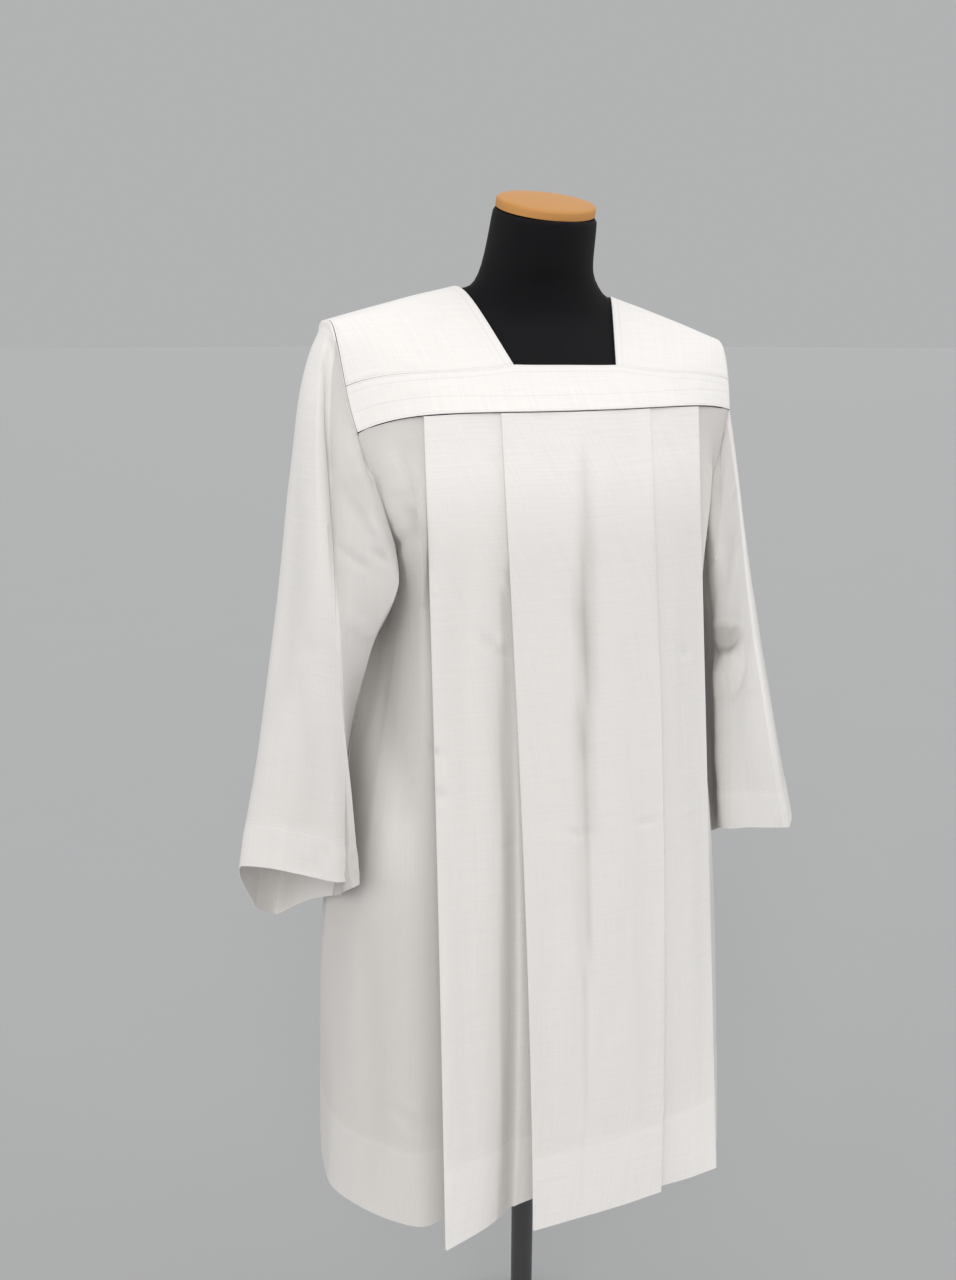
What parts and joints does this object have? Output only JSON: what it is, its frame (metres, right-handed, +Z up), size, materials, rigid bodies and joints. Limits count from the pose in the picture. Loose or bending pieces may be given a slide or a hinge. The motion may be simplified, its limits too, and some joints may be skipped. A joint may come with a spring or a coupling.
{
  "type": "surplice on dress form",
  "caption": "White pleated choir and clergy surplice with a square yoke and wide open sleeves, shown on a limbless dress form on a round stand.",
  "frame": {"origin": "centre of the stand foot's flat underside, on the floor", "axes": "+Z up along the stand's rod, -Y towards the garment's front, +X towards the wearer's left"},
  "size_m": [0.685, 0.4088, 1.582],
  "materials": {
    "white_cloth": "crisp fine plain weave, semi-matte",
    "black_jersey": "matte stretch jersey cover",
    "varnished_wood": "clear varnish, satin gloss",
    "black_steel": "satin black paint"
  },
  "bodies": {
    "root": {"skirt_front": "white_cloth", "skirt_back": "white_cloth", "yoke_band_front": "white_cloth", "yoke_band_back": "white_cloth", "yoke_shoulder_left": "white_cloth", "yoke_shoulder_right": "white_cloth", "sleeve_left": "white_cloth", "sleeve_right": "white_cloth", "form_body": "black_jersey", "form_neck_cap": "varnished_wood", "stand_rod": "black_steel", "stand_socket": "black_steel", "stand_foot": "black_steel"}
  },
  "joints": []
}
